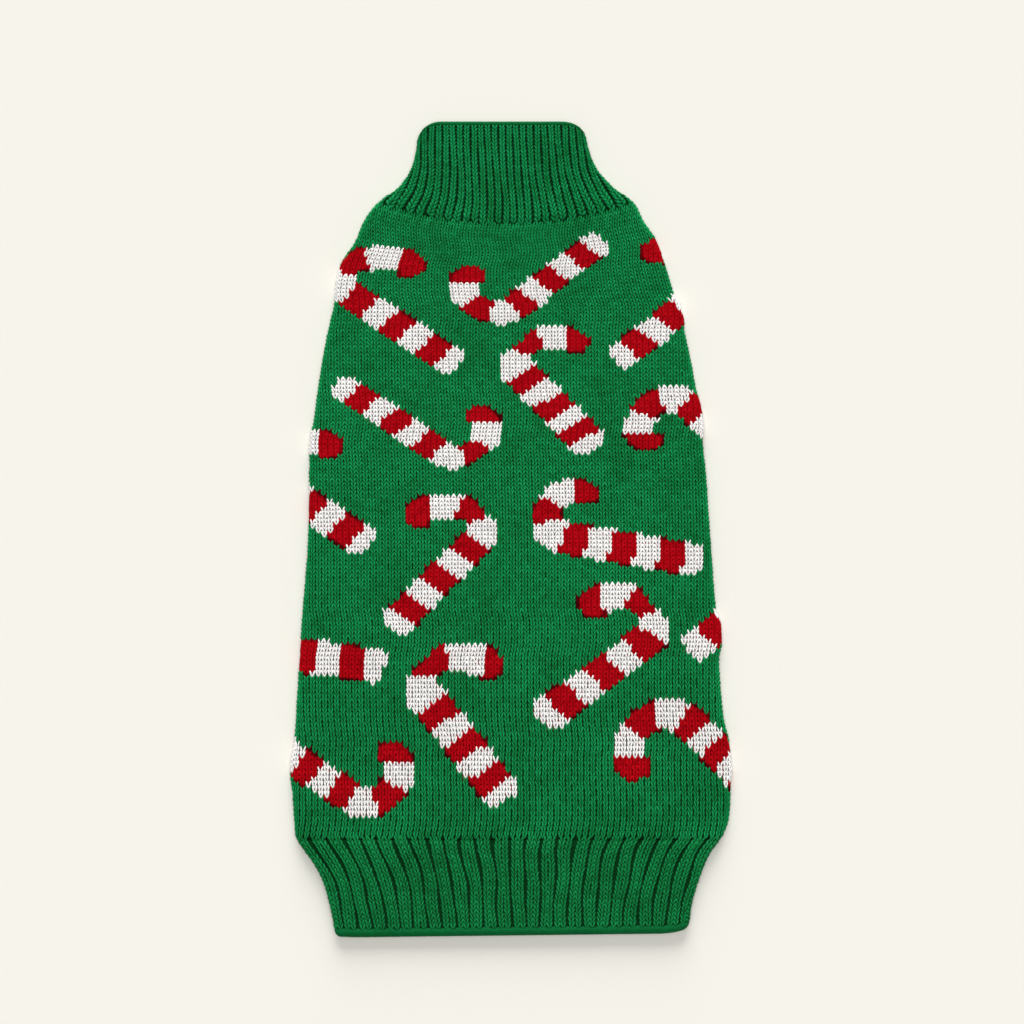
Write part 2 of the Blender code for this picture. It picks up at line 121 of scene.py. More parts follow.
def smooth_read(table, column, y):
    """Read a table's column at heights y, along cubic curves through its rows."""
    rows = np.array(table) * MM
    knots, values = rows[:, 0], rows[:, column]
    slopes = np.gradient(values, knots)
    y = np.clip(y, knots[0], knots[-1])
    low = np.clip(np.searchsorted(knots, y, side="right") - 1, 0, len(knots) - 2)
    span = knots[low + 1] - knots[low]
    t = (y - knots[low]) / span
    start = (1 + 2 * t) * (1 - t) ** 2 * values[low] + t * (1 - t) ** 2 * span * slopes[low]
    end = t ** 2 * (3 - 2 * t) * values[low + 1] + t ** 2 * (t - 1) * span * slopes[low + 1]
    return start + end


def fold_reach(side, y):
    """X of the left (-1) or right (+1) fold at height y: the outline and its swells."""
    reach = smooth_read(OUTLINE, 1 if side < 0 else 2, y)
    for swell_side, middle, half_length, swell in SWELLS:
        if swell_side == side:
            distance = (y - middle * MM) / (half_length * MM)
            reach = reach + side * swell * MM * np.exp(-distance ** 4)
    return reach


def middle_line(y):
    """X of the middle of the garment at height y, half way between the folds."""
    return 0.5 * (smooth_read(OUTLINE, 1, y) + smooth_read(OUTLINE, 2, y))


def half_round(left, right, high):
    """Length of cloth from the middle of the top to the far point of a fold."""
    return 0.5 * (right - left) + (0.25 * math.pi - 0.5) * high


def laid_section(s, left, right, high):
    """Where cloth s metres from the middle of the top lies on a flattened tube.

    It is flat, takes a half turn of half the height round each fold, and runs back
    flat underneath. Returns x, z and the outward direction's x and z.
    """
    radius = 0.5 * high
    from_fold = np.abs(half_round(left, right, high) - np.abs(s))
    under = np.abs(s) > half_round(left, right, high)
    turn = np.clip(from_fold / radius, 0, 0.5 * math.pi)
    inset = radius * (1 - np.cos(turn)) + np.maximum(from_fold - 0.5 * math.pi * radius, 0)
    x = np.where(s < 0, left + inset, right - inset)
    out_x = np.where(s < 0, -1, 1) * np.cos(turn)
    out_z = np.where(under, -1, 1) * np.sin(turn)
    return x, radius + radius * out_z, out_x, out_z


def across_at(x, left, right):
    """Place across the garment, -1 at the left fold and 1 at the right."""
    return np.clip((2 * x - left - right) / (right - left), -1, 1)


def body_height(edge, across):
    """Height of a body point on the row that meets the folds at `edge`."""
    fade = np.clip(1 - (NECK_SEAM - edge) / BOW_REACH, 0, 1)
    return edge + NECK_BOW * (1 - across ** 2) * fade ** 1.5


def body_point(s, edge, out):
    """Point of the back `out` metres outside its form, s from the middle of the top.

    The upper layer has soft waves, sine by sine, and a cosine pucker under each rib
    that grows towards the neck seam, where the cloth dips.
    """
    left, right = fold_reach(-1, edge), fold_reach(1, edge)
    x, z, out_x, out_z = laid_section(s, left, right, BODY_HIGH)
    y = body_height(edge, across_at(x, left, right))
    wave = np.sin(2 * math.pi * y / WAVE_ALONG + 0.6)
    wave = wave * np.sin(2 * math.pi * x / WAVE_ACROSS + 1.1 + 6 * y) * WAVE_HEIGHT
    near = np.clip(1 - (NECK_SEAM - edge) / GATHER_LENGTH, 0, 1)
    around = 0.5 + 0.5 * s / half_round(left, right, BODY_HIGH)
    pucker = -0.5 * np.cos(2 * math.pi * GATHERS * around) * GATHER_HEIGHT * near
    dip = SEAM_DIP * np.clip(5 * near - 4, 0, 1)
    raised = np.maximum(out_z, 0) * (wave + pucker - dip) + out
    return np.stack((x + raised * out_x, y, z + raised * out_z), axis=-1)


def belly_seam(side, y):
    """Length of cloth from the middle of the top to a belly seam, with its side's sign."""
    left, right = fold_reach(-1, y), fold_reach(1, y)
    half_belly = smooth_read(BELLY_HALF, 1, y)
    inset = 0.5 * (right - left) - half_belly
    length = half_round(left, right, BODY_HIGH) + inset + (0.25 * math.pi - 0.5) * BODY_HIGH
    return side * length


def new_piece(name, points, faces, uv=None, tone=None):
    """A smooth-shaded mesh object from arrays of points and of triangles or quads.

    uv holds one (u, v) for each corner of each face, tone one number for each point.
    """
    points = np.asarray(points, dtype=np.float32).reshape(-1, 3)
    faces = np.asarray(faces, dtype=np.int32)
    mesh = bpy.data.meshes.new(name)
    mesh.vertices.add(len(points))
    mesh.vertices.foreach_set("co", points.ravel())
    mesh.loops.add(faces.size)
    mesh.loops.foreach_set("vertex_index", faces.ravel())
    mesh.polygons.add(len(faces))
    starts = np.arange(len(faces), dtype=np.int32) * faces.shape[1]
    mesh.polygons.foreach_set("loop_start", starts)
    mesh.update(calc_edges=True)
    for layer, values in (uv or {}).items():
        values = np.asarray(values, dtype=np.float32).ravel()
        mesh.uv_layers.new(name=layer).data.foreach_set("uv", values)
    if tone is not None:
        attribute = mesh.attributes.new("tone", "FLOAT", "POINT")
        attribute.data.foreach_set("value", np.asarray(tone, dtype=np.float32).ravel())
    mesh.shade_smooth()
    piece = bpy.data.objects.new(name, mesh)
    bpy.context.scene.collection.objects.link(piece)
    return piece


def grid_faces(rows, columns, closed=False):
    """Quads of a grid of rows by columns; a closed one joins its last column to its first."""
    row = np.arange(rows - 1)[:, None]
    column = np.arange(columns if closed else columns - 1)[None, :]
    a = row * columns + column
    b = row * columns + (column + 1) % columns
    return np.stack((a, b, b + columns, a + columns), axis=-1).reshape(-1, 4)


def sheet_faces(rows, columns, closed=False):
    """Quads of a thin closed sheet: an outer grid, an inner grid, and its rims."""
    size = rows * columns
    outer = grid_faces(rows, columns, closed)
    inner = outer[:, ::-1] + size
    column = np.arange(columns if closed else columns - 1)
    after = (column + 1) % columns
    low = np.stack((column + size, after + size, after, column), axis=-1)
    column, after = column + (rows - 1) * columns, after + (rows - 1) * columns
    high = np.stack((column, after, after + size, column + size), axis=-1)
    parts = [outer, inner, low, high]
    if not closed:
        row = np.arange(rows - 1) * columns
        above = row + columns
        parts.append(np.stack((row, above, above + size, row + size), axis=-1))
        row, above = row + columns - 1, above + columns - 1
        parts.append(np.stack((row + size, above + size, above, row), axis=-1))
    return np.concatenate(parts)


def linear(hex_colour):
    """An sRGB hex colour turned linear, with full alpha."""
    srgb = np.array([int(hex_colour[i:i + 2], 16) / 255 for i in (1, 3, 5)])
    value = np.where(srgb <= 0.04045, srgb / 12.92, ((srgb + 0.055) / 1.055) ** 2.4)
    return (*value.tolist(), 1.0)


def add_node(tree, kind, settings, **links):
    """Add a node: settings are its properties, links its input values or sockets.

    A link is named for its input, or i0, i1 and so on for the input's number.
    """
    node = tree.nodes.new(kind)
    for name, value in settings.items():
        setattr(node, name, value)
    for name, value in links.items():
        numbered = name[1:].isdigit()
        socket = node.inputs[int(name[1:]) if numbered else name.replace("_", " ")]
        if isinstance(value, bpy.types.NodeSocket):
            tree.links.new(value, socket)
        else:
            socket.default_value = value
    return node


def painted_shade_loops_inside(name, dark):
    """Spun acrylic seen deep between the stitches: matt, almost without light.

    The dark shades are painted shade: green, red and white yarn darkened for the shade
    deep between the stitches, varied by 1.1 mm fuzz.
    """
    material = bpy.data.materials.new(name)
    material.use_nodes = True
    tree = material.node_tree
    shader = tree.nodes["Principled BSDF"]
    shader.inputs["Roughness"].default_value = 1.0
    shader.inputs["Specular IOR Level"].default_value = 0.1
    place = add_node(tree, "ShaderNodeTexCoord", {})
    fuzz = add_node(tree, "ShaderNodeTexNoise", {}, Vector=place.outputs["Object"],
                    Scale=900.0, Detail=3.0)
    yarn = add_node(tree, "ShaderNodeAttribute", {"attribute_name": "tone"})
    tint = add_node(tree, "ShaderNodeValToRGB", {}, Fac=yarn.outputs["Fac"])
    tint.color_ramp.elements[0].color = linear(dark[0])
    tint.color_ramp.elements[1].color = linear(dark[2])
    tint.color_ramp.elements.new(0.5).color = linear(dark[1])
    shade = add_node(tree, "ShaderNodeMix", {"data_type": "RGBA", "blend_type": "MULTIPLY"},
                     Factor=0.5, i6=tint.outputs["Color"], i7=fuzz.outputs["Fac"])
    tree.links.new(shade.outputs[2], shader.inputs["Base Color"])
    return material


def opening_middle(side):
    """X of the middle of a leg opening, which lies on its belly seam."""
    return middle_line(OPENING_HEIGHT) + side * smooth_read(BELLY_HALF, 1, OPENING_HEIGHT)


def cut_leg_openings(piece):
    """Cut both oval leg openings through a thin sheet, in the lower layer alone."""
    for side in (-1, 1):
        bpy.ops.mesh.primitive_cylinder_add(
            vertices=88, radius=1.0, depth=CUTTER_HIGH, rotation=(0, 0, side * OPENING_TILT),
            location=(float(opening_middle(side)), OPENING_HEIGHT, CUTTER_MIDDLE),
        )
        cutter = bpy.context.active_object
        cutter.scale = (OPENING_HALF[0], OPENING_HALF[1], 1.0)
        cut = piece.modifiers.new("leg_opening", "BOOLEAN")
        cut.operation = "DIFFERENCE"
        cut.solver = "EXACT"
        cut.object = cutter
        bpy.context.view_layer.update()
        graph = bpy.context.evaluated_depsgraph_get()
        done = bpy.data.meshes.new_from_object(piece.evaluated_get(graph))
        piece.modifiers.clear()
        piece.data = done
        bpy.data.objects.remove(cutter)


SHEET_ROWS, SHEET_COLUMNS = 90, 100
edges = np.linspace(HEM_SEAM, NECK_SEAM, SHEET_ROWS)[:, None]
share = np.linspace(0, 1, SHEET_COLUMNS)[None, :]
start, end = belly_seam(-1, edges), belly_seam(1, edges)
reach = start + share * (end - start)
edges = edges + 0 * reach
outer = body_point(reach, edges, CLOTH_FACE)
inner = body_point(reach, edges, BACK_INSIDE)
back_cloth = new_piece("back_cloth", np.stack((outer, inner)),
                       sheet_faces(SHEET_ROWS, SHEET_COLUMNS))
cut_leg_openings(back_cloth)
# Painted shade: the inside of the loops in dark green, dark red and grey.
loops_in_painted_shade = painted_shade_loops_inside("spun_acrylic_loops_in_painted_shade",
                                    ("#003a16", "#9c000a", "#5c6058"))
back_cloth.data.materials.append(loops_in_painted_shade)
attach(back_cloth, "root")
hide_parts("back_panel")

# ---- Back panel: its stitches ---------------------------------------------------
# Stockinette from a flat knitting machine, 3.45 mm a wale and 2.3 to 2.9 mm a course,
# in soft spun acrylic. Candy canes are knitted in with red and white yarn; each one is
# a straight shaft and a hook, striped along its middle line, and cut off at the folds.
WALE = 3.45 * MM
COURSE = 2.3 * MM          # the height that a stitch's path is drawn for
COURSES = (
    # height, height of one course, in mm: the lower part is stretched lengthwise
    (-176.2, 2.90),
    (-151.0, 2.85),
    (-106.0, 2.74),
    (-60.0, 2.50),
    (0.0, 2.37),
    (60.0, 2.28),
    (186.1, 2.26),
)
CANES = (
    # foot x and y, middle of the hook's arc x and y, its radius (+ turns left), way of the
    # tip, tip's length, first stripe, step, last stripe, half width, how far the last
    # stripe juts out on the inner side, cut off the bend's outer side, in degrees and mm
    (-30.8, 93.2, -83.0, 142.9, -15.1, -2, 34.0, 10.3, 14.0, 14.2, 10.2, 4.4, 5.0),
    (52.4, 165.6, -8.3, 138.1, -18.0, 90, 16.4, 10.4, 12.4, 12.6, 9.0, 4.0, 0.8),
    (48.3, 45.5, 18.2, 96.5, -16.0, -2, 25.6, 10.5, 11.8, 11.4, 10.9, 1.0, 6.5),
    (59.3, 95.8, 104.0, 149.0, 16.0, 180, 29.8, 11.5, 13.7, 16.0, 9.7, 4.4, 5.0),
    (153.2, 27.1, 89.5, 62.1, 16.0, -90, 21.6, 11.5, 13.5, 12.0, 10.2, 4.4, 2.0),
    (-99.8, 83.7, -29.5, 53.0, 15.0, 90, 22.3, 11.8, 12.8, 12.3, 9.5, 4.4, 4.5),
    (-80.7, -9.3, -134.0, 40.0, -13.0, 0, 37.7, 10.3, 13.6, 13.7, 10.2, 4.0, 5.0),
    (-69.3, -56.5, -27.8, 2.1, 13.0, 183, 33.3, 10.0, 13.4, 14.2, 9.9, 4.4, 6.0),
    (109.4, -18.2, 35.0, 8.5, -16.5, 0, 15.7, 11.4, 14.0, 15.7, 11.2, 0.5, 4.0),
    (16.0, -108.8, 65.9, -52.7, 16.0, 182, 27.3, 12.5, 14.2, 14.2, 10.7, 4.0, 7.0),
    (101.0, -69.4, 150.6, -15.0, 16.0, 180, 25.8, 13.0, 15.5, 14.2, 10.4, 4.0, 6.0),
    (-72.1, -78.4, -144.9, -53.5, -16.5, 0, 14.1, 12.2, 14.0, 15.7, 11.1, 0.5, 4.0),
    (-2.2, -154.2, -38.2, -86.1, -13.9, -3, 33.1, 9.9, 12.2, 11.8, 11.0, 2.5, 7.0),
    (-153.5, -111.3, -81.6, -138.3, 17.6, 90, 18.1, 14.7, 12.2, 12.2, 9.6, 4.8, 0.8),
    (150.0, -158.4, 87.4, -125.4, 21.0, -90, 17.9, 16.8, 11.4, 13.2, 10.0, 4.2, 1.5),
)
HOOK_HALF = 8.7 * MM       # half the width of a hook
SQUASH = 0.79              # a motif charted on squares, knitted in wide low stitches
SQUASHED_COURSE = 2.28     # height of those stitches, in mm
FOOT_ROUND = 6.0 * MM
LEAN_LENGTH = 14.0 * MM
GREEN, RED, WHITE = 0, 1, 2


def cane_colours(x, y):
    """Yarn at each point: green ground, or the red or white stripe of a cane.

    Each cane is drawn unsquashed: heights are divided by the stitches' squash. A
    point is in it when it is nearer than the half width to the shaft, which is the
    tangent from the foot to the hook's arc, to the arc or to the straight tip. The
    first stripe, five steps, three even stripes and the last follow each other along
    the middle line. A bend is cut off on its outer side by a squared sine, and there
    the stripes lean by the cut over LEAN_LENGTH. Foot and last stripe are rounded.
    """
    colours = np.full(np.shape(x), GREEN)
    for cane in CANES:
        foot_x, foot_y, hook_x, hook_y, radius, way = cane[:6]
        tip, first, step, cap, shaft_half, jut, cut = np.array(cane[6:]) * MM
        rows = np.array(COURSES)
        course = np.interp(0.5 * (foot_y + hook_y), rows[:, 0], rows[:, 1])
        squash = SQUASH * course / SQUASHED_COURSE
        hand, radius = math.copysign(1.0, radius), abs(radius) * MM
        middle = np.array((hook_x - foot_x, (hook_y - foot_y) / squash)) * MM
        heading = math.atan2(middle[1], middle[0])
        heading -= hand * math.asin(radius / math.hypot(*middle))
        shaft = math.sqrt(middle @ middle - radius ** 2)
        bend = abs((math.radians(way) - heading + math.pi) % (2 * math.pi) - math.pi)
        total = shaft + radius * bend + tip
        ahead = np.array((math.cos(heading), math.sin(heading)))
        left = np.array((-ahead[1], ahead[0]))
        at_x, at_y = x - foot_x * MM, (y - foot_y * MM) / squash
        along = at_x * ahead[0] + at_y * ahead[1]
        aside = hand * (at_x * left[0] + at_y * left[1])
        parts = [(along, aside, (along >= 0) & (along <= shaft), 0)]
        from_x, from_y = at_x - middle[0], at_y - middle[1]
        swept = hand * (np.arctan2(from_y, from_x) - math.atan2(-hand * left[1], -hand * left[0]))
        swept = (swept + math.pi) % (2 * math.pi) - math.pi
        parts.append((shaft + radius * swept, radius - np.hypot(from_x, from_y),
                      (swept > 0) & (swept < bend), swept / bend))
        last = heading + hand * bend
        ahead = np.array((math.cos(last), math.sin(last)))
        left = np.array((-ahead[1], ahead[0]))
        along = from_x * ahead[0] + from_y * ahead[1]
        aside = radius + hand * (from_x * left[0] + from_y * left[1])
        parts.append((shaft + radius * bend + along, aside, (along >= 0) & (along <= tip), 1))
        knots = (0, first, first + 5 * step, total - cap, total)
        for along, aside, inside, bent in parts:
            near_foot = np.clip(1 - along / FOOT_ROUND, 0, 1)
            width = shaft_half + (HOOK_HALF - shaft_half) * bent
            width = width * np.sqrt(1 - 0.6 * near_foot ** 2)
            ended = np.clip(1 - (total - along) / cap, 0, 1)
            bent = np.clip(bent, 0, 1)
            outer = width * (1 - ended ** 2) - cut * np.sin(math.pi * bent ** 1.4) ** 2
            inner = (width + jut * (ended > 0)) * (1 - 0.5 * ended ** 5)
            inside = inside & (aside < inner) & (-aside < outer)
            before_last = np.clip((total - cap - along) / max(tip - cap, 4 * MM), 0, 1)
            lean = cut / LEAN_LENGTH * bent ** 2 * before_last
            stripe = np.floor(np.interp(along - lean * aside, knots, (-1, 0, 5, 8, 8.9)))
            colours = np.where(inside, np.where(stripe % 2 == 0, RED, WHITE), colours)
    return colours


def course_heights():
    """Height of each course: one more wherever the courses' lengths have added up."""
    y = np.linspace(HEM_SEAM, NECK_SEAM, 4001)
    rows = np.array(COURSES) * MM
    pitch = np.interp(y, rows[:, 0], rows[:, 1])
    count = np.concatenate(([0], np.cumsum(np.diff(y) / (0.5 * (pitch[1:] + pitch[:-1])))))
    courses = int(round(count[-1]))
    count = count * courses / count[-1]
    heights = np.interp(np.arange(courses) + 0.5, count, y)
    return heights, np.interp(heights, rows[:, 0], rows[:, 1])


LEAN_FROM = 120.0 * MM     # the wales lean in above this height
LEAN = 1.3


def wale_lean(column, edge):
    """Where a wale lies at a height, and how close together the wales are there.

    It moves in by LEAN times the square of its distance from the middle, eased in.
    """
    t = np.clip((edge - LEAN_FROM) / (NECK_SEAM - LEAN_FROM), 0, 1)
    ease = LEAN * np.abs(column) * t * t * (3 - 2 * t)
    return column * (1 - ease), 1 - 2 * ease


def back_lay(column, aside, edge, out):
    """Place a point beside a wale of the back."""
    return body_point(wale_lean(column, edge)[0] + aside, edge, out)


def yarn_loop(path, sides, flat=1.0):
    """One stitch as a tube of yarn, in wales, courses and metres outwards.

    path has (place in wales, in courses, out in mm, radius in mm) from the bottom of
    the loop to its right tip, mirrored for the left. Each ring is a circle across the
    path, flattened in height by `flat`; a pole closes each end. Returns points,
    triangles, and each corner's place along and round the yarn.
    """
    path = np.array(path)
    centre = np.concatenate((path[:0:-1] * (-1, 1, 1, 1), path))
    rings = len(centre)
    place = centre[:, :3] * (WALE / MM, COURSE / MM, 1.0)
    tangent = np.gradient(place[:, :2], axis=0)
    tangent /= np.linalg.norm(tangent, axis=1)[:, None]
    round_it = np.arange(sides) * 2 * math.pi / sides + 0.5 * math.pi
    aside = np.cos(round_it)[None, :, None] * centre[:, 3, None, None]
    above = np.sin(round_it)[None, :] * centre[:, 3, None] * flat
    points = np.zeros((rings, sides, 3))
    points[:, :, 0] = place[:, 0, None] - aside[:, :, 0] * tangent[:, 1, None]
    points[:, :, 1] = place[:, 1, None] + aside[:, :, 0] * tangent[:, 0, None]
    points[:, :, 2] = place[:, 2, None] + above
    ends = place[[0, -1]]
    ends[:, :2] += tangent[[0, -1]] * (centre[[0, -1], 3, None] * ((-0.6,), (0.6,)))
    points = np.concatenate((points.reshape(-1, 3), ends)) * MM
    ring = np.arange(rings - 1)[:, None]
    side = np.arange(sides)[None, :]
    a = ring * sides + side
    b = ring * sides + (side + 1) % sides
    quads = np.stack((a, b, b + sides, a + sides), axis=-1).reshape(-1, 4)
    ring_uv = np.broadcast_to(ring, a.shape)
    side_uv = np.broadcast_to(side, a.shape)
    corner = np.stack((ring_uv, side_uv, ring_uv, side_uv + 1,
                       ring_uv + 1, side_uv + 1, ring_uv + 1, side_uv), axis=-1)
    corner = corner.reshape(-1, 4, 2).astype(float)
    faces = np.concatenate((quads[:, [0, 1, 2]], quads[:, [0, 2, 3]]))
    corners = np.concatenate((corner[:, [0, 1, 2]], corner[:, [0, 2, 3]]))
    side = np.arange(sides)
    after = (side + 1) % sides
    zero = 0 * side
    pole = zero + rings * sides
    low_cap = np.stack((pole, after, side), axis=-1)
    low_uv = np.stack((zero - 0.5, side + 0.5, zero, side + 1, zero, side), axis=-1)
    top = (rings - 1) * sides
    high_cap = np.stack((pole + 1, top + side, top + after), axis=-1)
    high_uv = np.stack((zero + rings - 0.5, side + 0.5, zero + rings - 1, side,
                        zero + rings - 1, side + 1), axis=-1)
    faces = np.concatenate((faces, low_cap, high_cap))
    corners = np.concatenate((corners, low_uv.reshape(-1, 3, 2), high_uv.reshape(-1, 3, 2)))
    corners = (corners + (0.5, 0)) / (rings, sides)
    p = points[faces]
    volume = np.sum(np.cross(p[:, 0], p[:, 1]) * p[:, 2])
    if volume < 0:
        faces = faces[:, ::-1]
        corners = corners[:, ::-1]
    return points, faces, corners


def knit(name, loop, places, lay):
    """All stitches of one yarn as one mesh.

    places has, for each stitch, its column and row, how wide and how high it is drawn,
    and rows to a metre. lay(column, aside, row, out) puts a point into space. Each
    stitch is turned, sized and sunk a little by chance.
    """
    points, faces, corners = loop
    count = len(places)
    tilt = chance.normal(0, 0.05, count)[:, None]
    size = 1 + chance.normal(0, 0.03, count)[:, None]
    sunk = chance.normal(0, 0.07, count)[:, None] * MM
    column, row, wide, high, unit = (places[:, k, None] for k in range(5))
    aside = points[None, :, 0] * wide * size
    ahead = points[None, :, 1] * high * size
    row = row + unit * (ahead + tilt * aside)
    placed = lay(column, aside - tilt * ahead, row, points[None, :, 2] + sunk)
    shift = (np.arange(count) * len(points))[:, None, None]
    all_faces = (faces[None] + shift).reshape(-1, 3)
    cells = math.ceil(math.sqrt(count))
    cell = np.stack((np.arange(count) % cells, np.arange(count) // cells), axis=-1)
    bake = (cell[:, None, None, :] + 0.1 + 0.8 * corners[None]) / cells
    yarn = np.broadcast_to(corners[None], bake.shape)
    tone = np.repeat(chance.uniform(0, 1, count), len(points))
    uv = {"OFBake": bake.reshape(-1, 2), "yarn": yarn.reshape(-1, 2)}
    return new_piece(name, placed.reshape(-1, 3), all_faces, uv, tone)


def spun_acrylic(name, shades, sheen, rim=None):
    """Soft spun acrylic yarn, dyed in the mass: matt, with two twisted plies and fuzz.

    The colour moves a little from stitch to stitch and in clouds of 22 mm; a tone
    below 0 takes the rim colour, painted shade where a motif meets green ground.
    The plies' twist is a sine along and round the yarn, 0.12 mm deep, and the
    fibres are 0.4 mm noise.
    """
    material = bpy.data.materials.new(name)
    material.use_nodes = True
    tree = material.node_tree
    shader = tree.nodes["Principled BSDF"]
    shader.inputs["Roughness"].default_value = 0.95
    shader.inputs["Specular IOR Level"].default_value = 0.06
    shader.inputs["Sheen Weight"].default_value = sheen
    shader.inputs["Sheen Roughness"].default_value = 0.5
    place = add_node(tree, "ShaderNodeTexCoord", {})
    tone = add_node(tree, "ShaderNodeAttribute", {"attribute_name": "tone"})
    cloud = add_node(tree, "ShaderNodeTexNoise", {}, Vector=place.outputs["Object"],
                     Scale=45.0, Detail=2.0)
    mixed = add_node(tree, "ShaderNodeMath", {"operation": "MULTIPLY_ADD"},
                     i0=tone.outputs["Fac"], i1=0.5, i2=cloud.outputs["Fac"])
    ramp = add_node(tree, "ShaderNodeValToRGB", {}, Fac=mixed.outputs[0])
    ramp.color_ramp.elements[0].position = 0.35
    ramp.color_ramp.elements[0].color = linear(shades[0])
    ramp.color_ramp.elements[1].position = 1.1
    ramp.color_ramp.elements[1].color = linear(shades[1])
    # The rim colour is painted shade where a motif meets the green ground.
    if rim:
        ramp.color_ramp.elements.new(0.0).color = linear(rim)
    tree.links.new(ramp.outputs["Color"], shader.inputs["Base Color"])
    along = add_node(tree, "ShaderNodeUVMap", {"uv_map": "yarn"})
    split = add_node(tree, "ShaderNodeSeparateXYZ", {}, i0=along.outputs["UV"])
    wound = add_node(tree, "ShaderNodeMath", {"operation": "MULTIPLY_ADD"},
                     i0=split.outputs["X"], i1=4.0, i2=split.outputs["Y"])
    turn = add_node(tree, "ShaderNodeMath", {"operation": "MULTIPLY"},
                    i0=wound.outputs[0], i1=4 * math.pi)
    ply = add_node(tree, "ShaderNodeMath", {"operation": "SINE"}, i0=turn.outputs[0])
    fibre = add_node(tree, "ShaderNodeTexNoise", {}, Vector=place.outputs["Object"],
                     Scale=2500.0, Detail=2.0)
    height = add_node(tree, "ShaderNodeMath", {"operation": "MULTIPLY_ADD"},
                      i0=ply.outputs[0], i1=0.35, i2=fibre.outputs["Fac"])
    bump = add_node(tree, "ShaderNodeBump", {}, Strength=0.5, Distance=0.12 * MM,
                    Height=height.outputs[0])
    tree.links.new(bump.outputs["Normal"], shader.inputs["Normal"])
    return material


# From the bottom of the loop to its tip: wales aside, courses up, mm out, mm radius.
# Green loops are drawn tight, white ones stand in a fuller arch, red ones fill their
# cells, and those underneath, which are hardly seen, are plain V shapes.
WHITE_PATH = (
    (0.00, -0.42, -1.02, 0.52),
    (0.17, -0.18, -0.86, 0.58),
    (0.27, 0.25, -0.66, 0.63),
    (0.36, 0.68, -0.78, 0.59),
    (0.43, 1.00, -1.30, 0.42),
)
PLAIN_PATH = (
    (0.00, -0.42, -1.12, 0.46),
    (0.19, -0.06, -0.66, 0.62),
    (0.29, 0.46, -0.62, 0.63),
    (0.41, 0.96, -1.34, 0.40),
)
RED_PATH = (
    (0.00, -0.42, -0.86, 0.80),
    (0.22, 0.02, -0.80, 1.00),
    (0.34, 0.62, -0.82, 1.00),
    (0.42, 1.00, -0.96, 0.78),
)
UNDER_PATH = ((0.00, -0.42, -0.90, 0.50), (0.26, 0.80, -0.75, 0.55))
plain_loop = yarn_loop(PLAIN_PATH, 4)
white_loop = yarn_loop(WHITE_PATH, 4)
red_loop = yarn_loop(RED_PATH, 4, 0.5)
under_loop = yarn_loop(UNDER_PATH, 3)
SEAM_CLEAR = 1.9 * MM      # from a belly seam to the first wale beside it
OPENING_CLEAR = 1.5 * MM
STITCH_MIDDLE = 0.3        # of a course above the row that a stitch stands on
SPLIT_HEIGHT = 10.0 * MM   # the green stitches are two pieces, above and below
STRIP_FROM = 3.0 * MM      # past a fold, where plain V stitches take over

heights, pitches = course_heights()
wales = (np.arange(-60, 60) + 0.5) * WALE
rows = np.repeat(heights, len(wales))
pitch = np.repeat(pitches, len(wales))
column = np.tile(wales, len(heights))
s, close = wale_lean(column, rows)
kept = (s > belly_seam(-1, rows) + SEAM_CLEAR) & (s < belly_seam(1, rows) - SEAM_CLEAR)
column, s, rows, pitch, close = (values[kept] for values in (column, s, rows, pitch, close))
to_fold = half_round(fold_reach(-1, rows), fold_reach(1, rows), BODY_HIGH)
under = np.abs(s) > to_fold + STRIP_FROM


def in_leg_opening(x, y, grow):
    """True inside either oval leg opening, made larger by `grow`."""
    inside = np.zeros(np.shape(x), dtype=bool)
    for side in (-1, 1):
        at_x, at_y = x - opening_middle(side), y - OPENING_HEIGHT
        cos, sin = math.cos(side * OPENING_TILT), math.sin(side * OPENING_TILT)
        a = (at_x * cos + at_y * sin) / (OPENING_HALF[0] + grow)
        b = (at_y * cos - at_x * sin) / (OPENING_HALF[1] + grow)
        inside |= a * a + b * b < 1
    return inside


def vertex_rows(piece, name):
    """The `co` or the `normal` of all of a piece's vertices, three numbers a row."""
    values = np.zeros(3 * len(piece.data.vertices), dtype=np.float32)
    piece.data.vertices.foreach_get(name, values)
    return values.reshape(-1, 3)


def colours_beside(points, distance):
    """The yarns a distance to the left of, right of, below and above each point."""
    moves = ((-distance, 0), (distance, 0), (0, -distance), (0, distance))
    return [cane_colours(points[:, 0] + x, points[:, 1] + y) for x, y in moves]


# The dark layer takes the painted shade of a cane's yarn on its upper face, 2.5 mm
# inside the cane's edges.
cloth_points = vertex_rows(back_cloth, "co")
tone = cane_colours(cloth_points[:, 0], cloth_points[:, 1])
for beside in colours_beside(cloth_points, 2.5 * MM):
    tone = np.where(beside == tone, tone, GREEN)
upper = (cloth_points[:, 2] > 0.5 * BODY_HIGH) & (vertex_rows(back_cloth, "normal")[:, 2] > 0.3)
tone = (0.5 * tone * upper).astype(np.float32)
back_cloth.data.attributes.new("tone", "FLOAT", "POINT").data.foreach_set("value", tone)


def paint_rim_shade(piece):
    """Lower the tone of a motif's points that have green ground within a millimetre.

    Their colour becomes the dark rim colour: painted shade for the gap in which the
    red and the green yarn meet.
    """
    points = vertex_rows(piece, "co")
    rim = np.any([beside == GREEN for beside in colours_beside(points, 1.0 * MM)], axis=0)
    tone = np.zeros(len(points), dtype=np.float32)
    piece.data.attributes["tone"].data.foreach_get("value", tone)
    tone = np.where(rim, -1, tone).astype(np.float32)
    piece.data.attributes["tone"].data.foreach_set("value", tone)


